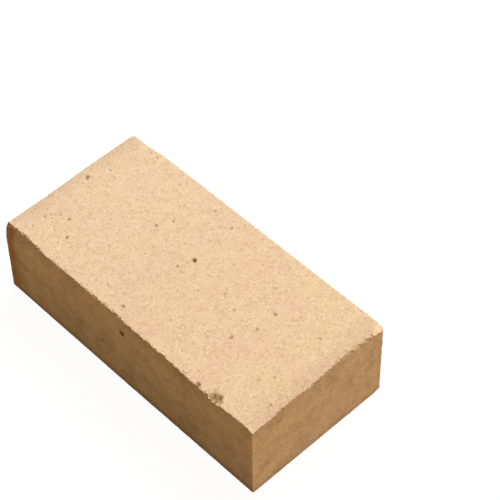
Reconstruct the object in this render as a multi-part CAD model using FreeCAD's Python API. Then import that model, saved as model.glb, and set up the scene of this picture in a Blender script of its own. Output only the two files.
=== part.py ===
import FreeCAD, Part
import math
import os

# Refractory firebrick: one rectangular block of dense fireclay, dry-pressed in a steel
# mould and fired. It is a single solid, with no frog, core holes or layers.
#
# The brick lies on its bed face, as it is laid. X runs along its length from the left
# header to the right header, Y across its width from the front stretcher face to the
# back one, and Z up from the lower bed face. The origin is the middle of the lower bed
# face. All sizes are in millimetres.

from FreeCAD import Vector

# Standard square firebrick format.
length = 230.0
width = 114.0
height = 64.0

# The arrises round the two bed faces. The lower one has seen less handling.
top_arris_radius = 1.2
bottom_arris_radius = 0.8

# The four upright arrises. The mould leaves them nearly sharp, and handling rounds them.
front_left_radius = 1.4
front_right_radius = 1.4
back_right_radius = 3.0
back_left_radius = 2.2

# Long, shallow wear on the front top arris: where its deepest point lies from the left
# header, how far it runs, and how far it reaches across the bed face and down the front.
front_wear_from_left = 24.0
front_wear_run = 190.0
front_wear_top_reach = 2.0
front_wear_side_reach = 1.6

# The same on the right header's top arris, measured from the front face.
header_wear_from_front = 84.0
header_wear_run = 58.0
header_wear_top_reach = 2.2
header_wear_side_reach = 1.6

# Chips on the front top arris. Each row gives the distance from the left header, the
# run along the arris, the reach across the bed face and the reach down the front.
front_chips = [
    (58.0, 7.0, 2.5, 2.2),
    (105.5, 8.0, 2.4, 2.4),
    (119.5, 7.0, 2.1, 2.0),
    (127.6, 8.0, 2.3, 2.4),
    (149.5, 8.0, 2.2, 2.2),
    (181.3, 8.0, 2.6, 2.4),
]

# Chips on the right header's top arris, with distances from the front face.
header_chips = [
    (23.0, 8.0, 1.8, 1.9),
    (73.3, 6.5, 2.7, 2.4),
    (81.5, 8.0, 3.0, 2.6),
    (90.2, 7.0, 2.9, 2.5),
]

# A shallow scab in the top bed face, just behind the front arris, where a crust has come
# away: its distances from the left header and the front face, half its width, its depth.
scab_from_left = 197.0
scab_from_front = 4.2
scab_half_width = 3.8
scab_depth = 0.9

# The back right top corner has crumbled. Each reach is along one of its three arrises.
corner_reach_along_x = 6.0
corner_reach_along_y = 10.5
corner_reach_down = 3.0


def edge_at(shape, middle):
    """The edge of shape whose centre of mass lies nearest to the point middle."""
    return min(shape.Edges, key=lambda edge: edge.CenterOfMass.distanceToPoint(middle))


def pressed_block():
    """The sharp block as the mould leaves it, standing on the origin's plane."""
    return Part.makeBox(length, width, height, Vector(-length / 2, -width / 2, 0))


def round_upright_arrises(brick):
    """Rounds each of the four upright arrises to its own radius."""
    radii = [
        (-1, -1, front_left_radius),
        (1, -1, front_right_radius),
        (1, 1, back_right_radius),
        (-1, 1, back_left_radius),
    ]
    for side_x, side_y, radius in radii:
        middle = Vector(side_x * length / 2, side_y * width / 2, height / 2)
        brick = brick.makeFillet(radius, [edge_at(brick, middle)])
    return brick


def round_bed_arrises(brick):
    """Rounds the closed loop of arrises round the top bed face, then the bottom one."""
    for level, radius in ((height, top_arris_radius), (0.0, bottom_arris_radius)):
        on_level = [
            edge
            for edge in brick.Edges
            if all(abs(vertex.Z - level) < 1e-6 for vertex in edge.Vertexes)
        ]
        brick = brick.makeFillet(radius, on_level)
    return brick


def stand_off(half_run, reach):
    """How far outside a face a ball's centre stands, for its cut to meet the arris over
    twice half_run and to reach that far across the face."""
    return (half_run**2 - reach**2) / (2 * reach)


def arris_scoop(place, outward, run, top_reach, side_reach):
    """A ball that scoops a shallow conchoidal flake from a top arris. place is the
    flake's middle on the arris, and outward points away from the upright face."""
    half_run = run / 2
    out = stand_off(half_run, top_reach)
    above = stand_off(half_run, side_reach)
    radius = math.sqrt(half_run**2 + out**2 + above**2)
    return Part.makeSphere(radius, place + outward * out + Vector(0, 0, above))


def front_scoop(from_left, run, top_reach, side_reach):
    """A scoop on the front top arris, at a distance from the left header."""
    place = Vector(-length / 2 + from_left, -width / 2, height)
    return arris_scoop(place, Vector(0, -1, 0), run, top_reach, side_reach)


def header_scoop(from_front, run, top_reach, side_reach):
    """A scoop on the right header's top arris, at a distance from the front face."""
    place = Vector(length / 2, -width / 2 + from_front, height)
    return arris_scoop(place, Vector(1, 0, 0), run, top_reach, side_reach)


def bed_scab():
    """A ball that sinks the scab's shallow round hollow in the top bed face."""
    radius = (scab_half_width**2 + scab_depth**2) / (2 * scab_depth)
    across = -length / 2 + scab_from_left
    along = -width / 2 + scab_from_front
    return Part.makeSphere(radius, Vector(across, along, height + radius - scab_depth))


def corner_break():
    """What the crumbled corner has lost, as a drum whose flat end lies on the break. The
    break is a plane through the three points that the reaches mark on the arrises."""
    corner = Vector(length / 2, width / 2, height)
    on_top_back = corner - Vector(corner_reach_along_x, 0, 0)
    on_top_right = corner - Vector(0, corner_reach_along_y, 0)
    on_upright = corner - Vector(0, 0, corner_reach_down)
    middle = (on_top_back + on_top_right + on_upright) / 3
    outward = Vector(1 / corner_reach_along_x, 1 / corner_reach_along_y, 1 / corner_reach_down)
    drum = corner_reach_along_x + corner_reach_along_y + corner_reach_down
    return Part.makeCylinder(drum, drum, middle, outward)


def firebrick():
    """The whole brick: pressed, rounded, then worn and chipped."""
    brick = round_bed_arrises(round_upright_arrises(pressed_block()))
    lost = [
        front_scoop(
            front_wear_from_left, front_wear_run, front_wear_top_reach, front_wear_side_reach
        ),
        header_scoop(
            header_wear_from_front, header_wear_run, header_wear_top_reach, header_wear_side_reach
        ),
        corner_break(),
        bed_scab(),
    ]
    lost += [front_scoop(*chip) for chip in front_chips]
    lost += [header_scoop(*chip) for chip in header_chips]
    for piece in lost:
        brick = brick.cut(piece)
    return brick


def main():
    os.makedirs("parts", exist_ok=True)
    firebrick().exportStep("parts/firebrick.step")


main()
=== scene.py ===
import math
import random

import bmesh
import bpy
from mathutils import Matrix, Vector, kdtree, noise


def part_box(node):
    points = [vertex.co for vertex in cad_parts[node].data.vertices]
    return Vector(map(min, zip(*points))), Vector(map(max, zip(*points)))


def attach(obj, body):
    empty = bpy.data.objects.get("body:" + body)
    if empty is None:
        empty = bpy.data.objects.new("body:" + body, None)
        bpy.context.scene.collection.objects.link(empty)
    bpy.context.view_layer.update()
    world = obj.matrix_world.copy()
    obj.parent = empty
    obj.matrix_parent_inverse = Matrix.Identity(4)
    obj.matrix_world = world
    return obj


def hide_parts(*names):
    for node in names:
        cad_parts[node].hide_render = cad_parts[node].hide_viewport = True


# A refractory firebrick lying on its bed face: one pressed and fired block of fireclay,
# with worn arrises, chips, iron spots and a mottled, sandy skin. Lengths are in metres.

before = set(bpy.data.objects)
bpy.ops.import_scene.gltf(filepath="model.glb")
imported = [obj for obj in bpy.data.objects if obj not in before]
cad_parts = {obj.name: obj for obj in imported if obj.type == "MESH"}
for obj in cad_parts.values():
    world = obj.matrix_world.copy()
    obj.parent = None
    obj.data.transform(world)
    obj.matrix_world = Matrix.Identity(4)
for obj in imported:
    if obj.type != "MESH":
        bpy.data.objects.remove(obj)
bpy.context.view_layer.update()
low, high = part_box("firebrick")
middle = (low + high) / 2
half = (high - low) / 2

mm = 0.001
dice = random.Random(64)


# The pressed block is cut into rows of about this width, which are halved twice near the
# arrises and three times round each iron spot and each spot of painted hole shade.
row_width = 1.8 * mm
arris_bands = (5.0 * mm, 2.6 * mm)
spot_bands = (3.4 * mm, 2.4 * mm, 1.7 * mm)

upward = Vector((0, 0, 1))

# Each upper arris: a point on it, the way it runs, and the way out of its side face.
arrises = {
    "front": (Vector((0, low.y, high.z)), Vector((1, 0, 0)), Vector((0, -1, 0))),
    "right": (Vector((high.x, 0, high.z)), Vector((0, 1, 0)), Vector((1, 0, 0))),
    "back": (Vector((0, high.y, high.z)), Vector((1, 0, 0)), Vector((0, 1, 0))),
    "left": (Vector((low.x, 0, high.z)), Vector((0, 1, 0)), Vector((-1, 0, 0))),
}

# How far each arris is rounded: round the two beds, named by the sign of Z, and at the
# four uprights, named by the signs of X and Y. The left end of the upper bed is rounder.
# Corners and arrises that stick out have been rubbed the most.
bed_radius = {1: 0.9 * mm, -1: 0.7 * mm}
left_bed_radius = 1.2 * mm
left_bed_reach = 9.0 * mm
upright_radius = {
    (-1, -1): 0.5 * mm,
    (1, -1): 0.9 * mm,
    (1, 1): 2.6 * mm,
    (-1, 1): 2.4 * mm,
}
upright_reach = 8.0 * mm

# By what share the rounding comes and goes, and over what distance.
rounding_swing = 0.35
rounding_swing_size = 5.0 * mm

# Within this distance of the front right top corner the arrises are hardly worn, and at
# the corner itself they are rounded by this share of their radius.
sound_reach = 9.0 * mm
sound_rounding = 0.5

# The upper bed dips towards the front left corner: how deep, and over what distance.
dip_depth = 1.0 * mm
dip_reach = 75.0 * mm

# Stretches where an upper arris has been worn back across the bed. Each row gives the
# arris, where along it the wear is deepest, how far it runs, and its depth.
worn_stretches = [
    ("front", -97.0 * mm, 54.0 * mm, 3.0 * mm),
    ("front", -42.0 * mm, 170.0 * mm, 1.6 * mm),
    ("front", -16.0 * mm, 44.0 * mm, 1.9 * mm),
    ("front", 22.0 * mm, 84.0 * mm, 1.2 * mm),
    ("front", 107.0 * mm, 20.0 * mm, 0.8 * mm),
    ("right", -25.0 * mm, 30.0 * mm, 0.8 * mm),
    ("right", 20.0 * mm, 56.0 * mm, 1.4 * mm),
    ("back", -106.0 * mm, 38.0 * mm, 1.6 * mm),
    ("left", -20.0 * mm, 60.0 * mm, 0.5 * mm),
]

# How far a worn arris draws the bed and the side face with it.
bed_zone = 9.0 * mm
side_zone = 12.0 * mm

# How ragged each arris is left all along, how far down the side face that reaches, and
# the sizes of the bites in it with the share that each size has. The margin is what is
# lost where the bites even out.
ragged_depth = {"front": 1.1 * mm, "right": 0.7 * mm, "back": 0.6 * mm, "left": 0.4 * mm}
ragged_zone = 4.0 * mm
ragged_margin = 0.25
bite_sizes = [(0.9 * mm, 1.2), (1.8 * mm, 0.6), (4.5 * mm, 0.5)]

# The tip of the front left top corner has been rubbed back along the left arris: how
# far, and how far from the tip that reaches along X, Y and Z.
tip_rub = 1.6 * mm
tip_reach = Vector((10.0, 4.0, 3.0)) * mm

# The front arris at the foot has been rubbed upwards from the left header: how deep it
# is there, how far along it runs out, and how far up and back the rubbing reaches.
foot_wear_depth = 1.7 * mm
foot_wear_run = 110.0 * mm
foot_wear_zone = 9.0 * mm

# The front arris sags in front of the scab: the middle of that stretch, half its run
# along the arris, how far it reaches across the bed, and its depth.
sag_at = 80.6 * mm
sag_half_run = 5.8 * mm
sag_reach = 6.0 * mm
sag_depth = 2.7 * mm

# Chips on the front and right arrises. Each row gives the arris, the chip's middle along
# it, its run, and its reaches across the bed and down the side from the worn arris.
chips = [
    ("front", -57.0 * mm, 5.0 * mm, 0.9 * mm, 1.8 * mm),
    ("front", -9.5 * mm, 7.0 * mm, 1.4 * mm, 2.4 * mm),
    ("front", 4.5 * mm, 6.0 * mm, 0.9 * mm, 2.2 * mm),
    ("front", 12.6 * mm, 8.0 * mm, 0.8 * mm, 2.6 * mm),
    ("front", 21.0 * mm, 4.0 * mm, 0.8 * mm, 1.4 * mm),
    ("front", 34.5 * mm, 6.0 * mm, 1.2 * mm, 2.2 * mm),
    ("front", 49.2 * mm, 4.0 * mm, 0.6 * mm, 1.4 * mm),
    ("front", 65.2 * mm, 6.0 * mm, 1.2 * mm, 2.6 * mm),
    ("front", 74.4 * mm, 5.4 * mm, 1.7 * mm, 2.2 * mm),
    ("right", -35.3 * mm, 6.0 * mm, 1.2 * mm, 1.8 * mm),
    ("right", -32.0 * mm, 5.0 * mm, 1.0 * mm, 1.5 * mm),
    ("right", -22.0 * mm, 4.0 * mm, 0.7 * mm, 1.5 * mm),
    ("right", 16.3 * mm, 5.0 * mm, 1.0 * mm, 1.8 * mm),
    ("right", 23.2 * mm, 7.0 * mm, 1.2 * mm, 2.4 * mm),
    ("right", 33.2 * mm, 7.0 * mm, 1.2 * mm, 1.8 * mm),
]

# How rough the chips are, and how fresh they look on each arris: 0 is old, 1 is new.
chip_roughness = 0.5 * mm
chip_freshness = {"front": 0.1, "right": 0.3}

# Hollows in the upper bed where grains have been lost. Each row gives X, Y, half the
# hollow's width and its depth, in millimetres. The widest is a shallow scab by the front
# arris, and the next one is a hole in it.
hollows = [
    (81.8, -53.2, 4.0, 0.3),
    (82.8, -51.4, 1.6, 0.3),
    (66.1, -55.0, 1.5, 0.5),
    (-57.0, -54.5, 0.9, 0.7),
    (112.4, 16.6, 0.9, 0.7),
    (112.0, 23.7, 1.2, 1.0),
    (110.9, 33.6, 1.1, 0.8),
    (111.0, 40.6, 1.2, 0.8),
]

# How rough the hollows are, and how fresh they look.
hollow_roughness = 0.25 * mm
hollow_freshness = 0.1

# Stretches that have crumbled, of the front and right arrises, short of the sound corner,
# and of the back and left ones. Each row gives the arris, where the stretch starts and
# ends, how far a crumb may reach across the bed, how far apart the crumbs are, and how
# fresh they look.
front_right_crumbling = [
    ("front", low.x, high.x - 8.0 * mm, 0.7 * mm, 5.0 * mm, 0.1),
    ("right", low.y + 8.0 * mm, high.y, 0.8 * mm, 5.0 * mm, 0.1),
    ("right", 12.0 * mm, 46.0 * mm, 1.2 * mm, 2.5 * mm, 0.1),
]
back_left_crumbling = [
    ("back", low.x, high.x, 0.8 * mm, 5.0 * mm, 0.2),
    ("left", low.y, high.y, 0.8 * mm, 5.0 * mm, 0.2),
]

# The least and the most of each measure of a crumb: its length in millimetres, its bite
# as a share of what the stretch allows, its drop down the side as a share of the bite,
# and the step to the next crumb as a share of their spacing. The bite and the drop also
# stay under a share of the length, because no ball fits a crumb past half of it.
crumb_length = (2.0, 6.0)
crumb_bite = (0.3, 1.0)
crumb_drop = (1.5, 3.0)
crumb_step = (0.4, 1.6)
most_bite = 0.3
most_drop = 0.48
crumb_roughness = 0.1 * mm

# The strip of the bed that has lost single grains: its arris, where it starts and ends,
# its width, how many grains are gone, and how fresh their pits look.
grainy_strip = ("right", 14.0 * mm, 46.0 * mm, 2.6 * mm, 34, 0.2)

# The least and the most of each measure of such a pit: its radius in millimetres, its
# place across the strip as a share of the width, and how high above the bed the middle
# of its ball lies, as a share of the radius.
pit_radius = (0.7, 1.6)
pit_place = (-0.5, 1.0)
pit_rise = (0.3, 0.8)
pit_roughness = 0.3 * mm

# Broken clay is rough with grains of this width, and it looks fresh all over where the
# break is at least this deep. On average a gouge stays shallower than its ball by this
# share of its roughness, and nowhere does it go deeper than the ball by the margin.
broken_grain = 0.9 * mm
fresh_depth = 0.4 * mm
gouge_lean = 0.3
gouge_margin = 2.0 * mm

# The broken back right top corner, as reaches along its three arrises, how rough the
# break is, and with what grains. On average it lies deeper by this share of the roughness.
broken_corner = (6.0 * mm, 10.5 * mm, 3.0 * mm)
break_roughness = 0.5 * mm
break_grain = 1.6 * mm
break_lean = 0.4

# A painted highlight, where the rounded front right upright catches the light, runs over
# this width, and is strongest down from its top by this much. Further down this share of it is
# left.
highlight_width = 3.0 * mm
highlight_top = 7.0 * mm
highlight_below = 0.6

# The relief of the faces, each as its depth and its size: low swells, a coarse grain by
# the arrises, within this reach of them, and a fine grain everywhere.
swell_depth = 0.10 * mm
swell_size = 38.0 * mm
coarse_depth = 0.12 * mm
coarse_size = 1.4 * mm
coarse_reach = 3.0 * mm
fine_depth = 0.02 * mm
fine_size = 1.1 * mm

# Iron spots, with some by the front arris that are partly iron and partly painted shade in
# hollows. Each row gives the face, two distances from the brick's middle or bed, the
# radius, all in millimetres, and how dark the spot is: past 1 its core is evenly dark.
iron_and_hole_shade_spots = [
    ("top", -107.2, 7.9, 1.3, 0.85),
    ("top", -100.9, -33.7, 1.0, 0.50),
    ("top", -100.7, -44.4, 0.9, 0.35),
    ("top", -95.3, -25.6, 0.9, 0.40),
    ("top", -93.7, 52.5, 0.8, 0.35),
    ("top", -88.1, -24.4, 1.1, 0.70),
    ("top", -87.6, 52.1, 0.8, 0.40),
    ("top", -77.4, -35.3, 1.1, 0.70),
    ("top", -52.8, -20.9, 0.8, 0.40),
    ("top", -44.7, 12.2, 1.0, 0.65),
    ("top", -39.5, 22.3, 0.9, 0.60),
    ("top", -29.3, -42.5, 0.9, 0.40),
    ("top", -26.6, 47.5, 0.9, 0.55),
    ("top", -10.2, -1.2, 0.9, 0.65),
    ("top", -10.2, -47.0, 1.0, 0.80),
    ("top", -8.8, 44.9, 0.9, 0.65),
    ("top", -6.1, 9.8, 1.4, 1.25),
    ("top", 13.0, -5.4, 0.8, 0.42),
    ("top", 27.0, 5.3, 0.9, 0.42),
    ("top", 36.6, -49.4, 0.8, 0.35),
    ("top", 40.1, 0.5, 0.9, 0.42),
    ("top", 54.4, -16.0, 1.1, 0.58),
    ("top", 60.7, 15.9, 1.1, 0.60),
    ("top", 61.2, -0.2, 1.0, 0.55),
    # Partly iron, partly painted shade in the hollow here.
    ("top", 66.1, -54.6, 1.5, 0.70),
    ("top", 73.0, 21.5, 0.8, 0.35),
    # In and round the scab by the front arris: partly iron, partly painted shade in its holes.
    ("top", 77.0, -50.9, 1.4, 0.40),
    ("top", 78.5, -52.8, 1.1, 0.62),
    ("top", 78.2, -55.0, 1.2, 0.30),
    ("top", 80.0, -53.2, 3.6, 0.22),
    ("top", 82.8, -51.8, 1.6, 0.75),
    ("top", 81.6, -54.8, 1.2, 0.55),
    ("top", 85.2, -53.6, 1.1, 0.45),
    ("top", 89.0, -26.0, 0.8, 0.30),
    ("top", 93.2, 22.2, 0.9, 0.55),
    ("top", 94.6, -18.4, 0.9, 0.40),
    ("top", 107.3, -33.9, 1.0, 0.50),
    ("top", 107.6, -36.7, 0.9, 0.38),
    ("front", -73.1, 43.2, 0.9, 0.35),
    ("front", -22.2, 26.9, 1.6, 0.65),
    ("front", -1.7, 52.7, 1.8, 1.30),
    ("front", 13.7, 47.8, 1.0, 0.45),
    ("right", -16.5, 17.1, 0.9, 0.40),
    ("right", -14.1, 30.5, 0.8, 0.30),
    ("right", 29.2, 30.0, 0.9, 0.35),
    ("right", 36.3, 31.5, 1.1, 0.50),
]

# Spots on the bed are drawn out along this line by this ratio, and as much narrower.
spot_line = Vector((-0.73, 0.68, 0.0)).normalized()
spot_stretch = 1.15

# A spot fades out at this many radii, and points further off than the second number are
# passed over. Its outline is ragged by this share, with grains of this width, and its pit
# is this deep as a share of the radius.
spot_halo = 1.5
spot_search = 3
spot_raggedness = 0.4
spot_grain = 0.9 * mm
spot_pit = 0.12

# Kiln flashing. It reaches this far from the front left upright, and this far from the
# front arris at the foot, where it runs out along the brick. Its full strength is cut off
# at 1, its margin comes and goes by a share over a distance, and where handling has
# rubbed the upright, over half the reach, this share of it is left.
flash_reach = 10.0 * mm
foot_flash_reach = 5.0 * mm
foot_flash_run = 40.0 * mm
flash_strength = 1.4
flash_swing = 0.35
flash_swing_size = 9.0 * mm
rubbed_reach = 0.5
rubbed_flash = 0.35

# A faint streak of flashing under the front's upper arris: its middle, half its run, how
# far down it reaches, and its strength.
streak_at = 48.0 * mm
streak_half_run = 52.0 * mm
streak_drop = 17.0 * mm
streak_strength = 0.28

# Khaki on the lower part of the front and back: how strong it is at the bed, how high it
# reaches, and where it starts to be fainter towards the right, over what run and by what
# share.
foot_khaki = 0.55
foot_khaki_height = 55.0 * mm
fainter_from = 55.0 * mm
fainter_run = 50.0 * mm
fainter_by = 0.35

# A painted contact shadow, a darker rim at the very foot: its height, its most, and its share
# on the ends of the brick with what the front and back have more.
foot_shadow_height = 7.0 * mm
foot_shadow_most = 0.6
foot_shadow_ends = 0.45
foot_shadow_more = 0.4

# Khaki up the front left upright: its strength and its width.
edge_soil = 0.65
edge_soil_width = 5.0 * mm

# Painted shade in khaki under the upper arrises: how far down it reaches, its strength on a
# side face, and how that grows where the side turns up into the bed, up to a limit.
under_arris_shade_drop = 12.0 * mm
under_arris_shade = 0.14
under_arris_shade_growth = 0.8
under_arris_shade_turn = 0.35

# Khaki along both ends of the bed: its strength, its width at each end, and the distance
# from the front over which it sets in.
end_khaki = 0.22
right_end_khaki_width = 16.0 * mm
left_end_khaki_width = 12.0 * mm
end_khaki_start = 14.0 * mm


def fade(distance, reach):
    """From 1 at no distance down to 0 at the reach, and 0 beyond it."""
    return max(1.0 - distance / reach, 0.0)


def behind_faces(co):
    """How deep a point lies behind the nearer face of each pair, smallest first."""
    return sorted(half[axis] - abs(co[axis] - middle[axis]) for axis in range(3))


def on_face(face, across, along):
    """A point on a named face, from its two distances in millimetres."""
    if face == "top":
        return Vector((across * mm, along * mm, high.z))
    if face == "front":
        return Vector((across * mm, low.y, along * mm))
    return Vector((high.x, across * mm, along * mm))


def pressed_block():
    """A cube of the brick's size, cut into even rows along all three axes."""
    block = bmesh.new()
    bmesh.ops.create_cube(block, size=2.0)
    bmesh.ops.scale(block, vec=half, verts=block.verts)
    bmesh.ops.translate(block, vec=middle, verts=block.verts)
    for axis in range(3):
        rows = round(2 * half[axis] / row_width)
        along = [
            edge
            for edge in block.edges
            if abs(edge.verts[0].co[axis] - edge.verts[1].co[axis]) > row_width
        ]
        bmesh.ops.subdivide_edges(block, edges=along, cuts=rows - 1, use_grid_fill=True)
    return block


def halve_rows(block, wanted):
    """Halves the edges whose middle the test picks, and closes the faces beside them."""
    edges = [
        edge for edge in block.edges if wanted((edge.verts[0].co + edge.verts[1].co) / 2)
    ]
    bmesh.ops.subdivide_edges(
        block, edges=edges, cuts=1, use_grid_fill=True, use_single_edge=True
    )


def refine(block):
    """Finer rows where the surface has more to show: along arrises and round spots."""
    for band in arris_bands:
        halve_rows(block, lambda co: behind_faces(co)[1] < band)
    spots = [on_face(face, across, along) for face, across, along, _, _ in iron_and_hole_shade_spots]
    for band in spot_bands:
        halve_rows(block, lambda co: any((co - spot).length < band for spot in spots))


def soundness(co):
    """From 0 at the front right top corner, the soundest one, to 1 a short way off."""
    return min((co - Vector((high.x, low.y, high.z))).length / sound_reach, 1.0)


def arris_radius(co):
    """The rounding at a point: the bed's own, growing to the upright's near a corner, and
    less at the sound corner."""
    side = tuple(1 if co[axis] > middle[axis] else -1 for axis in range(3))
    from_upright = math.hypot(half.x - abs(co.x - middle.x), half.y - abs(co.y - middle.y))
    share = fade(from_upright, upright_reach) ** 1.5
    bed = bed_radius[side[2]]
    if side[2] > 0:
        bed += (left_bed_radius - bed) * fade(co.x - low.x, left_bed_reach)
    radius = bed * (1 - share) + upright_radius[side[:2]] * share
    sound = sound_rounding + (1.0 - sound_rounding) * soundness(co)
    swing = 1.0 + rounding_swing * noise.noise(co / rounding_swing_size)
    return radius * sound * swing


def round_arrises(block):
    """Pulls every point near an arris onto a round of that place's radius."""
    for vert in block.verts:
        radius = arris_radius(vert.co)
        core = Vector(
            min(max(vert.co[axis], low[axis] + radius), high[axis] - radius)
            for axis in range(3)
        )
        out = vert.co - core
        if out.length > radius:
            vert.co = core + out.normalized() * radius


def dip_corner(block):
    """Lets the upper bed sink a little towards the front left corner."""
    for vert in block.verts:
        share = fade(math.hypot(vert.co.x - low.x, vert.co.y - low.y), dip_reach) ** 2
        vert.co.z -= dip_depth * share * (vert.co.z - low.z) / (high.z - low.z)


def sag_arris(block):
    """Lets a short stretch of the front arris sag, with the bed beside it."""
    for vert in block.verts:
        along = (vert.co.x - sag_at) / sag_half_run
        across = (vert.co.y - low.y) / sag_reach
        share = max(1.0 - along**2 - across**2, 0.0) * fade(high.z - vert.co.z, side_zone)
        vert.co.z -= sag_depth * share


def rub_foot(block):
    """Rubs the front arris at the foot upwards, most at the left header."""
    for vert in block.verts:
        run = fade(vert.co.x - low.x, foot_wear_run)
        above = fade(vert.co.z - low.z, foot_wear_zone)
        behind = fade(vert.co.y - low.y, foot_wear_zone)
        vert.co.z += foot_wear_depth * run * above * behind


def stand_off(half_run, reach):
    """How far outside a face a ball stands to meet an arris over twice half_run and to
    reach that far across the face."""
    return (half_run**2 - reach**2) / (2 * reach)


def worn_back(arris, along):
    """How far a stretch of wear has moved an arris back across the bed at a place."""
    backs = [
        depth * (1 - ((along - deepest) / (run / 2)) ** 2)
        for name, deepest, run, depth in worn_stretches
        if name == arris
    ]
    return max(backs + [0.0])


def wear_arrises(block):
    """Moves the upper arrises back by their wear and by a ragged margin, and slopes the
    side faces up to them."""
    for vert in block.verts:
        place = vert.co.copy()
        down = high.z - place.z
        if down > side_zone:
            continue
        bites = sum(share * noise.noise(place / size) for size, share in bite_sizes)
        ragged = max(ragged_margin + bites, 0.0) * soundness(place) * fade(down, ragged_zone)
        for arris, (start, direction, outward) in arrises.items():
            behind = fade(outward.dot(start - place), bed_zone)
            if behind > 0:
                worn = worn_back(arris, direction.dot(place)) * fade(down, side_zone)
                vert.co -= outward * (behind * (worn + ragged * ragged_depth[arris]))


def rub_tip(block):
    """Rubs the tip of the front left top corner back along the left arris."""
    tip = Vector((low.x, low.y + worn_back("front", low.x), high.z))
    for vert in block.verts:
        away = Vector((vert.co - tip)[axis] / tip_reach[axis] for axis in range(3))
        vert.co.y += tip_rub * max(1.0 - away.length, 0.0)


class Wear:
    """The block as it is worn: it finds the points in a ball and pushes them out of it. It
    also marks a painted highlight on one upright.
    """

    def __init__(self, block):
        # Fresh broken clay, and the painted highlight on the front right upright.
        self.wear_and_highlight_layer = block.verts.layers.float.new("wear_and_highlight")
        self.verts = list(block.verts)
        self.tree = kdtree.KDTree(len(self.verts))
        for index, vert in enumerate(self.verts):
            self.tree.insert(vert.co, index)
        self.tree.balance()

    def gouge(self, centre, radius, roughness, fresh):
        """Pushes what lies inside a ball out to its surface, which is as rough as a
        fracture through grains, and marks how fresh the broken clay looks."""
        for _, index, _ in self.tree.find_range(centre, radius + gouge_margin):
            vert = self.verts[index]
            offset = vert.co - centre
            wanted = radius + roughness * (noise.noise(vert.co / broken_grain) - gouge_lean)
            moved = wanted - offset.length
            if moved > 0:
                vert.co = centre + offset.normalized() * wanted
                share = fresh * min(moved / fresh_depth, 1.0)
                vert[self.wear_and_highlight_layer] = max(vert[self.wear_and_highlight_layer], share)

    def flake(self, arris, along, run, bed_reach, side_reach, roughness, fresh):
        """Takes a shallow flake off an arris, from where wear has moved it back to."""
        start, direction, outward = arrises[arris]
        half_run = run / 2
        out = stand_off(half_run, bed_reach)
        above = stand_off(half_run, side_reach)
        inset = worn_back(arris, along)
        centre = start + direction * along + outward * (out - inset) + upward * above
        radius = math.sqrt(half_run**2 + out**2 + above**2)
        self.gouge(centre, radius, roughness, fresh)

    def hollow(self, across, along, half_width, depth):
        """Sinks a round hollow in the upper bed."""
        radius = (half_width**2 + depth**2) / (2 * depth)
        centre = Vector((across, along, high.z / mm + radius - depth)) * mm
        self.gouge(centre, radius * mm, hollow_roughness, hollow_freshness)

    def crumble(self, arris, first, last, reach, spacing, fresh):
        """Takes crumbs off a stretch of an arris."""
        along = first
        while along < last:
            run = dice.uniform(*crumb_length) * mm
            bite = min(dice.uniform(*crumb_bite) * reach, most_bite * run)
            drop = min(bite * dice.uniform(*crumb_drop), most_drop * run)
            self.flake(arris, along, run, bite, drop, crumb_roughness, fresh)
            along += dice.uniform(*crumb_step) * spacing

    def lose_grains(self, arris, first, last, width, count, fresh):
        """Leaves pits here and there in a strip of the bed along an arris."""
        start, direction, outward = arrises[arris]
        for _ in range(count):
            radius = dice.uniform(*pit_radius) * mm
            along = dice.uniform(first, last)
            inset = worn_back(arris, along) + dice.uniform(*pit_place) * width
            place = start + direction * along - outward * inset
            rise = upward * radius * dice.uniform(*pit_rise)
            self.gouge(place + rise, radius, pit_roughness, fresh)

    def break_corner(self):
        """Cuts the back right top corner off along a rough plane."""
        reach_x, reach_y, reach_down = broken_corner
        outward = Vector((1 / reach_x, 1 / reach_y, 1 / reach_down)).normalized()
        level = outward.dot(high - Vector((reach_x, 0, 0)))
        for vert in self.verts:
            rough = break_roughness * (noise.noise(vert.co / break_grain) - break_lean)
            beyond = outward.dot(vert.co) - level - rough
            if beyond > 0:
                vert.co -= outward * beyond
                vert[self.wear_and_highlight_layer] = 1.0

    def paint_upright_highlight(self):
        """Marks a painted highlight up the front right upright, where its rounding catches the
        light, most at its top.
        """
        for vert in self.verts:
            away = math.hypot(high.x - vert.co.x, vert.co.y - low.y)
            top = fade(high.z - vert.co.z, highlight_top)
            highlight_share = (highlight_below + (1.0 - highlight_below) * top) * fade(away, highlight_width)
            vert[self.wear_and_highlight_layer] = max(vert[self.wear_and_highlight_layer], highlight_share)


def wear_down(block):
    """All the wear, from the long rubbed stretches to single grains, and a painted highlight
    on the front right upright.
    """
    wear_arrises(block)
    rub_tip(block)
    rub_foot(block)
    wear_and_highlight = Wear(block)
    for chip in chips:
        wear_and_highlight.flake(*chip, chip_roughness, chip_freshness[chip[0]])
    wear_and_highlight.break_corner()
    # Paints the highlight on the front right upright.
    wear_and_highlight.paint_upright_highlight()
    for place in hollows:
        wear_and_highlight.hollow(*place)
    for stretch in front_right_crumbling:
        wear_and_highlight.crumble(*stretch)
    wear_and_highlight.lose_grains(*grainy_strip)
    for stretch in back_left_crumbling:
        wear_and_highlight.crumble(*stretch)


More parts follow.
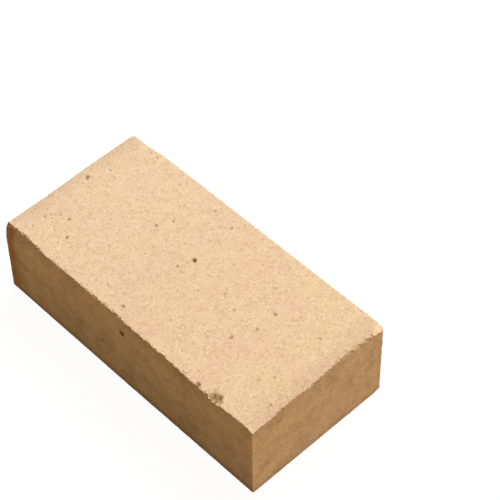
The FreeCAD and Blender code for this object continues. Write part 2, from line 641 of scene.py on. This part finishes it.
def burn_iron_and_hole_shade_spots(block):
    """Sinks a small pit at each iron spot and each spot of painted hole shade, and marks how
    dark it is.
    """
    iron_and_hole_shade = block.verts.layers.float.new("iron_and_hole_shade")
    block.normal_update()
    for face, across, along, radius, dark in iron_and_hole_shade_spots:
        spot = on_face(face, across, along)
        for vert in block.verts:
            offset = vert.co - spot
            if offset.length > spot_search * radius * mm:
                continue
            if face == "top":
                drawn = spot_line * offset.dot(spot_line)
                offset = drawn / spot_stretch + (offset - drawn) * spot_stretch
            swing = 1.0 + spot_raggedness * noise.noise(vert.co / spot_grain)
            ragged = radius * mm * swing
            inside = max(1.0 - (offset.length / (spot_halo * ragged)) ** 2, 0.0)
            vert[iron_and_hole_shade] = max(vert[iron_and_hole_shade], min(dark * inside, 1.0))
            vert.co -= vert.normal * (spot_pit * radius * mm * dark * inside**2)


def off_bed(normal):
    """1 on a surface that leans back by up to 25 degrees, falling to 0 at 65 degrees."""
    return min(max(1.9 - 2.1 * normal.z, 0.0), 1.0)


def mark_flashing(block):
    """Marks where the kiln's flame has browned the brick: up the front left arris, for a
    short way along the foot of the front face, and faintly under its top arris."""
    flash = block.verts.layers.float.new("flash")
    block.normal_update()
    for vert in block.verts:
        swing = 1.0 + flash_swing * noise.noise(vert.co / flash_swing_size)
        upright = math.hypot(vert.co.x - low.x, vert.co.y - low.y) / flash_reach
        foot = math.hypot(vert.co.y - low.y, vert.co.z - low.z) / foot_flash_reach
        foot += (vert.co.x - low.x) / foot_flash_run
        share = min(max(flash_strength - min(upright, foot) / swing, 0.0), 1.0)
        along = (vert.co.x - streak_at) / streak_half_run
        streak = math.hypot(along, (vert.co.z - high.z) / streak_drop)
        share = max(share, streak_strength * fade(streak, swing) * abs(vert.normal.y))
        share *= rubbed_flash + (1.0 - rubbed_flash) * min(upright / rubbed_reach, 1.0)
        vert[flash] = share * off_bed(vert.normal)


def foot_darkening(co, normal):
    """Khaki that deepens towards the foot of the front and back."""
    share = fade(co.z, foot_khaki_height) * abs(normal.y)
    share *= 1.0 - fainter_by * min(max((co.x - fainter_from) / fainter_run, 0.0), 1.0)
    return foot_khaki * share


def painted_foot_shadow(co, normal):
    """A painted contact shadow: the darkest khaki, in the last few millimetres above the bed.
    """
    share = min(fade(co.z, foot_shadow_height), foot_shadow_most)
    return share * (foot_shadow_ends + foot_shadow_more * abs(normal.y))


def edge_soiling(co):
    """Khaki up the front left upright."""
    return edge_soil * fade(math.hypot(co.x - low.x, co.y - low.y), edge_soil_width)


def painted_shade_under_arrises(co, normal):
    """A little painted shade in khaki under the upper arrises, more where they turn up."""
    turned = min(max(normal.z, 0.0), under_arris_shade_turn)
    return (under_arris_shade + under_arris_shade_growth * turned) * fade(high.z - co.z, under_arris_shade_drop)


def end_darkening(co):
    """A little khaki along both ends of the bed, which fades out towards the front arris."""
    from_right = (high.x - co.x) / right_end_khaki_width
    from_left = (co.x - low.x) / left_end_khaki_width
    share = end_khaki * max(1.0 - min(from_right, from_left), 0.0)
    return share * min((co.y - low.y) / end_khaki_start, 1.0)


def mark_khaki_and_shade(block):
    """Marks which faces stand upright, and where the clay is khaki, with painted shade under
    the upper arrises and a painted shadow at the foot.
    """
    khaki_and_painted_shade = block.verts.layers.float.new("khaki_and_painted_shade")
    upright = block.verts.layers.float.new("upright")
    block.normal_update()
    for vert in block.verts:
        co = vert.co
        normal = vert.normal
        aside = 1.0 - abs(normal.z)
        # Khaki, with a painted shadow at the very foot and painted shade under the upper
        # arrises.
        low_down = foot_darkening(co, normal) + max(painted_foot_shadow(co, normal), edge_soiling(co))
        vert[upright] = aside
        vert[khaki_and_painted_shade] = (
            low_down + painted_shade_under_arrises(co, normal) * aside + end_darkening(co) * (1.0 - aside)
        )


def roughen(block):
    """Low swells over the faces, a fine grain everywhere and a coarse one by the arrises,
    all of them inwards."""
    block.normal_update()
    for vert in block.verts:
        share = min(behind_faces(vert.co)[1] / coarse_reach, 1.0)
        swell = swell_depth * share * (1.0 + noise.noise(vert.co / swell_size))
        coarse = coarse_depth * (1.0 - share) * (1.0 + noise.noise(vert.co / coarse_size))
        fine = fine_depth * (1.0 + noise.noise(vert.co / fine_size))
        vert.co -= vert.normal * (swell + coarse + fine)


def keep_in_box(block):
    """Holds every point inside the pressed size."""
    for vert in block.verts:
        vert.co = Vector(min(max(vert.co[axis], low[axis]), high[axis]) for axis in range(3))


def make_firebrick():
    """The finished brick as one closed mesh."""
    block = pressed_block()
    refine(block)
    round_arrises(block)
    wear_down(block)
    burn_iron_and_hole_shade_spots(block)
    mark_flashing(block)
    mark_khaki_and_shade(block)
    roughen(block)
    sag_arris(block)
    dip_corner(block)
    keep_in_box(block)
    for face in block.faces:
        face.smooth = True
    bmesh.ops.recalc_face_normals(block, faces=block.faces)
    mesh = bpy.data.meshes.new("worn_firebrick")
    block.to_mesh(mesh)
    block.free()
    brick = bpy.data.objects.new("worn_firebrick", mesh)
    bpy.context.scene.collection.objects.link(brick)
    return brick


def srgb(red, green, blue):
    """A colour written as it looks on a screen, from 0 to 255."""
    def linear(value):
        share = value / 255
        return share / 12.92 if share <= 0.04045 else ((share + 0.055) / 1.055) ** 2.4
    return (linear(red), linear(green), linear(blue), 1.0)


# The clay itself, and what is in it.
yellow_clay = srgb(240, 213, 174)
pink_clay = srgb(238, 207, 177)
# Painted light on the left of the bed.
pale_clay_painted_light = srgb(246, 224, 196)
brown_clay = srgb(222, 190, 150)
dull_grit = srgb(208, 170, 130)
bright_grit = srgb(250, 228, 196)
brown_sand = srgb(204, 162, 122)
pale_grog = srgb(255, 238, 210)
dark_grog = srgb(176, 130, 88)
brown_speck = srgb(166, 120, 80)

# What has come over it, with painted light among it: fresh clay also makes a painted
# highlight, and khaki also makes painted shade. Iron, and the painted shade in some
# holes, darken the clay in two steps: a brown, then a warm stain.
fresh_clay_and_highlight = srgb(244, 216, 176)
khaki = srgb(160, 132, 88)
kiln_brown = srgb(166, 105, 40)
iron_and_hole_shade_brown = srgb(106, 69, 16)
iron_and_hole_shade_stain = (1.0, 0.93, 0.72, 1.0)

# How fully each of these covers the clay where it is strongest.
speck_cover = 0.45
fresh_and_highlight_cover = 0.6
flash_cover = 0.85
iron_and_hole_shade_cover = 0.92

# How large the clouds, mottles, grains and soiled patches are, and how far apart the
# specks lie.
cloud_size = 34 * mm
mottle_size = 7 * mm
grit_size = 1.5 * mm
sand_size = 0.8 * mm
grog_size = 2.4 * mm
speck_spacing = 4.6 * mm
patch_size = 12 * mm

# Painted light makes the bed palest left of the first of these places along X, and no paler
# than elsewhere right of the second.
painted_light_from = -80 * mm
painted_light_until = 30 * mm

# Relief too fine for the mesh: its size, its depth, and how much of that shows.
pore_size = 1.1 * mm
pore_depth = 0.35 * mm
pore_strength = 0.14

# How much gloss the fired skin has.
clay_gloss = 0.25


class Nodes:
    """Short ways to place and join shader nodes in one tree."""

    def __init__(self, tree):
        self.tree = tree

    def add(self, kind, **values):
        """A new node with the given settings."""
        node = self.tree.nodes.new(kind)
        for name, value in values.items():
            setattr(node, name, value)
        return node

    def put(self, value, socket):
        """Joins an output to a socket, or writes a plain value on it."""
        if isinstance(value, bpy.types.NodeSocket):
            self.tree.links.new(value, socket)
        else:
            socket.default_value = value

    def noise(self, place, size, detail=2.0, rough=0.5):
        """Noise with features of a size in metres."""
        node = self.add("ShaderNodeTexNoise")
        self.put(place, node.inputs["Vector"])
        node.inputs["Scale"].default_value = 1.0 / size
        node.inputs["Detail"].default_value = detail
        node.inputs["Roughness"].default_value = rough
        return node.outputs["Fac"]

    def cells(self, place, size):
        """Cells of a size in metres: the distance from each one's middle, and two random
        numbers that each cell has of its own."""
        node = self.add("ShaderNodeTexVoronoi")
        self.put(place, node.inputs["Vector"])
        node.inputs["Scale"].default_value = 1.0 / size
        split = self.add("ShaderNodeSeparateColor")
        self.tree.links.new(node.outputs["Color"], split.inputs["Color"])
        return node.outputs["Distance"], split.outputs["Red"], split.outputs["Green"]

    def range(self, value, start, end, to_start=0.0, to_end=1.0):
        """A smooth step from one value to another, while the input goes from start to end."""
        node = self.add("ShaderNodeMapRange", interpolation_type="SMOOTHSTEP")
        for name, given in (
            ("Value", value),
            ("From Min", start),
            ("From Max", end),
            ("To Min", to_start),
            ("To Max", to_end),
        ):
            self.put(given, node.inputs[name])
        return node.outputs["Result"]

    def math(self, operation, first, second):
        """One sum, product or comparison of two values."""
        node = self.add("ShaderNodeMath", operation=operation)
        self.put(first, node.inputs[0])
        self.put(second, node.inputs[1])
        return node.outputs["Value"]

    def mix(self, share, first, second, blend="MIX"):
        """The first colour with a share of the second one over it."""
        node = self.add("ShaderNodeMix", data_type="RGBA", blend_type=blend)
        self.put(share, node.inputs["Factor"])
        self.put(first, node.inputs["A"])
        self.put(second, node.inputs["B"])
        return node.outputs["Result"]

    def cover(self, share, strength, colour, over):
        """A colour under another one, which covers it by a share times a strength."""
        return self.mix(self.math("MULTIPLY", share, strength), colour, over)

    def attribute(self, name):
        """What the mesh says at each point."""
        return self.add("ShaderNodeAttribute", attribute_name=name).outputs["Fac"]


def new_material(name):
    """An empty material, with the means to fill it."""
    material = bpy.data.materials.new(name)
    material.use_nodes = True
    material.node_tree.nodes.clear()
    return material, Nodes(material.node_tree)


def clay_body(nodes, place, upright):
    """Buff clay, clouded pink and yellow, with painted light on the left of the bed, mottled
    brown.
    """
    clouds = nodes.range(nodes.noise(place, cloud_size, 2.0), 0.35, 0.65)
    colour = nodes.mix(clouds, yellow_clay, pink_clay)
    sides = nodes.add("ShaderNodeSeparateXYZ")
    nodes.put(place, sides.inputs["Vector"])
    # Painted light: the bed is paler towards its left end.
    pale = nodes.range(sides.outputs["X"], painted_light_from, painted_light_until, 0.3, 0.0)
    pale = nodes.math("MULTIPLY", pale, nodes.math("SUBTRACT", 1.0, upright))
    colour = nodes.mix(pale, colour, pale_clay_painted_light)
    mottle = nodes.range(nodes.noise(place, mottle_size, 3.0), 0.3, 0.7, 0.0, 0.35)
    return nodes.mix(mottle, colour, brown_clay)


def add_grit(nodes, colour, sand, pick, pick_too):
    """Dull and bright grit in the cells that two random numbers pick, and brown sand."""
    colour = nodes.mix(nodes.range(pick, 0.65, 1.0, 0.0, 0.42), colour, dull_grit)
    colour = nodes.mix(nodes.range(pick_too, 0.72, 1.0, 0.0, 0.5), colour, bright_grit)
    return nodes.mix(nodes.range(sand, 0.48, 0.72, 0.0, 0.58), colour, brown_sand)


def add_grog(nodes, colour, place):
    """Crushed fired clay: a pale or a dark grain in the middle of some cells."""
    away, chosen, _ = nodes.cells(place, grog_size)
    grain = nodes.range(away, 0.14, 0.26, 1.0, 0.0)
    pale = nodes.math("MULTIPLY", grain, nodes.range(chosen, 0.72, 0.95, 0.0, 0.55))
    dark = nodes.math("MULTIPLY", grain, nodes.range(chosen, 0.05, 0.28, 0.4, 0.0))
    colour = nodes.mix(pale, colour, pale_grog)
    return nodes.mix(dark, colour, dark_grog)


def speck_places(nodes, place):
    """Where the small brown specks are: in the middle of some wide cells."""
    away, chosen, _ = nodes.cells(place, speck_spacing)
    dot = nodes.range(away, 0.13, 0.22, 1.0, 0.0)
    return nodes.math("MULTIPLY", dot, nodes.range(chosen, 0.7, 1.0))


def khaki_share(nodes, place, sand, upright, fresh):
    """How khaki the clay is: in patches on the sides and where it is marked, with painted
    shade there, unevenly because of the sand, and not where it is fresh or painted as a
    highlight."""
    patches = nodes.range(nodes.noise(place, patch_size, 4.0, 0.6), 0.4, 0.7, 0.0, 0.30)
    share = nodes.math("MULTIPLY", patches, upright)
    share = nodes.math("ADD", share, nodes.attribute("khaki_and_painted_shade"))
    share = nodes.math("MULTIPLY", share, nodes.range(sand, 0.3, 0.7, 0.6, 1.4))
    return nodes.math("MULTIPLY", share, nodes.math("SUBTRACT", 1.0, fresh))


def pore_normal(nodes, place, pick, speck):
    """Pores, grit that stands out, and specks that lie a little lower."""
    pores = nodes.noise(place, pore_size, 3.0, 0.6)
    relief = nodes.math("ADD", pores, nodes.math("MULTIPLY", pick, 0.35))
    relief = nodes.math("SUBTRACT", relief, nodes.math("MULTIPLY", speck, 0.6))
    bump = nodes.add("ShaderNodeBump")
    bump.inputs["Strength"].default_value = pore_strength
    bump.inputs["Distance"].default_value = pore_depth
    nodes.put(relief, bump.inputs["Height"])
    return bump.outputs["Normal"]


def fireclay():
    """Fired clay with grog, as it has come from the kiln and been handled since."""
    material, nodes = new_material("fireclay")
    place = nodes.add("ShaderNodeTexCoord").outputs["Object"]
    upright = nodes.attribute("upright")
    fresh = nodes.attribute("wear_and_highlight")
    iron_and_hole_shade = nodes.attribute("iron_and_hole_shade")
    sand = nodes.noise(place, sand_size, 2.0)
    _, pick, pick_too = nodes.cells(place, grit_size)
    speck = speck_places(nodes, place)

    colour = clay_body(nodes, place, upright)
    colour = add_grit(nodes, colour, sand, pick, pick_too)
    colour = add_grog(nodes, colour, place)
    colour = nodes.cover(speck, speck_cover, colour, brown_speck)
    # Freshly broken clay, and a painted highlight on the front right upright.
    colour = nodes.cover(fresh, fresh_and_highlight_cover, colour, fresh_clay_and_highlight)
    # Khaki, partly painted shade under the upper arrises and a painted shadow at the foot.
    colour = nodes.mix(khaki_share(nodes, place, sand, upright, fresh), colour, khaki)
    colour = nodes.cover(nodes.attribute("flash"), flash_cover, colour, kiln_brown)
    # Iron, and painted shade in the holes by the front arris.
    colour = nodes.cover(iron_and_hole_shade, iron_and_hole_shade_cover, colour, iron_and_hole_shade_brown)
    colour = nodes.mix(iron_and_hole_shade, colour, iron_and_hole_shade_stain, "MULTIPLY")

    shader = nodes.add("ShaderNodeBsdfPrincipled")
    nodes.put(colour, shader.inputs["Base Color"])
    shader.inputs["Specular IOR Level"].default_value = clay_gloss
    nodes.put(nodes.range(sand, 0.3, 0.7, 0.82, 0.95), shader.inputs["Roughness"])
    nodes.put(pore_normal(nodes, place, pick, speck), shader.inputs["Normal"])
    output = nodes.add("ShaderNodeOutputMaterial")
    nodes.put(shader.outputs["BSDF"], output.inputs["Surface"])
    return material


# The floor and the air round it are white to the eye, and warm in the light that they
# give the brick. The glow is what the floor adds to be white.
floor_to_light = (0.14, 0.095, 0.055, 1.0)
floor_to_eye = (0.08, 0.08, 0.08, 1.0)
floor_glow = 0.955
floor_half_width = 6.0
air_to_light = (1.0, 0.8, 0.58, 1.0)
air_to_eye = (1.0, 1.0, 1.0, 1.0)
air_light_strength = 0.12

# The camera stands about 50 degrees above the floor. It has a sight line, a turn about it
# in degrees, a lens and a picture width in millimetres, and a nearest distance.
camera_place = (0.5886, -0.5034, 1.0149)
camera_sight = (-0.46550, 0.43950, -0.76822)
camera_turn = -0.94
camera_lens = 140.22
picture_width = 36.0
camera_nearest = 0.05


def seen_by_eye(nodes):
    """1 for what the camera sees, straight or in a gloss, and 0 for soft bounced light."""
    path = nodes.add("ShaderNodeLightPath")
    seen = nodes.math("MAXIMUM", path.outputs["Is Camera Ray"], path.outputs["Is Glossy Ray"])
    return nodes.math("MAXIMUM", seen, path.outputs["Is Transmission Ray"])


def floor_finish():
    """White to the eye, with the brick's shadow on it, and a warm tan to bounced light."""
    material, nodes = new_material("pale_floor")
    seen = seen_by_eye(nodes)
    paint = nodes.add("ShaderNodeBsdfDiffuse")
    nodes.put(nodes.mix(seen, floor_to_light, floor_to_eye), paint.inputs["Color"])
    glow = nodes.add("ShaderNodeEmission")
    nodes.put(nodes.math("MULTIPLY", seen, floor_glow), glow.inputs["Strength"])
    both = nodes.add("ShaderNodeAddShader")
    nodes.put(paint.outputs["BSDF"], both.inputs[0])
    nodes.put(glow.outputs["Emission"], both.inputs[1])
    output = nodes.add("ShaderNodeOutputMaterial")
    nodes.put(both.outputs["Shader"], output.inputs["Surface"])
    return material


def lay_floor():
    """One wide sheet that the brick lies on."""
    sheet = bmesh.new()
    bmesh.ops.create_grid(sheet, x_segments=1, y_segments=1, size=floor_half_width)
    mesh = bpy.data.meshes.new("floor")
    sheet.to_mesh(mesh)
    sheet.free()
    mesh.materials.append(floor_finish())
    floor = bpy.data.objects.new("floor", mesh)
    bpy.context.scene.collection.objects.link(floor)
    return floor


def turn_to(sight):
    """The turn of a lamp or camera that looks along a line, upright."""
    return Vector(sight).to_track_quat("-Z", "Y").to_euler()


def lamp(name, place, size, power, colour):
    """A square soft box that faces the brick."""
    light = bpy.data.lights.new(name, "AREA")
    light.size = size
    light.energy = power
    light.color = colour
    holder = bpy.data.objects.new(name, light)
    holder.location = place
    holder.rotation_euler = turn_to(middle - Vector(place))
    bpy.context.scene.collection.objects.link(holder)


def light_stage():
    """A large soft key from above and behind, warm fills from the right and the front, and
    a little warm light from all round."""
    lamp("key", place=(-0.50, 1.90, 2.77), size=2.2, power=124.0, colour=(0.98, 0.99, 1.0))
    lamp("right_fill", place=(1.6, 0.1, 0.35), size=0.9, power=11.7, colour=(1.0, 0.77, 0.50))
    lamp("front_fill", place=(-0.5, -1.5, 0.5), size=1.0, power=5.6, colour=(1.0, 0.705, 0.33))
    world = bpy.data.worlds.new("studio")
    bpy.context.scene.world = world
    world.use_nodes = True
    world.node_tree.nodes.clear()
    nodes = Nodes(world.node_tree)
    seen = seen_by_eye(nodes)
    air = nodes.add("ShaderNodeBackground")
    nodes.put(nodes.mix(seen, air_to_light, air_to_eye), air.inputs["Color"])
    nodes.put(nodes.range(seen, 0.0, 1.0, air_light_strength, 1.0), air.inputs["Strength"])
    output = nodes.add("ShaderNodeOutputWorld")
    nodes.put(air.outputs["Background"], output.inputs["Surface"])


def place_camera():
    """Looks down on the front right corner."""
    camera = bpy.data.cameras.new("camera")
    camera.sensor_width = picture_width
    camera.lens = camera_lens
    camera.clip_start = camera_nearest
    holder = bpy.data.objects.new("camera", camera)
    holder.location = camera_place
    holder.rotation_euler = turn_to(camera_sight)
    holder.rotation_euler.rotate_axis("Z", math.radians(camera_turn))
    bpy.context.scene.collection.objects.link(holder)
    bpy.context.scene.camera = holder


brick = make_firebrick()
brick.data.materials.append(fireclay())
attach(brick, "root")
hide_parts("firebrick")

floor = lay_floor()
light_stage()
place_camera()

bpy.context.scene.view_settings.view_transform = "Standard"
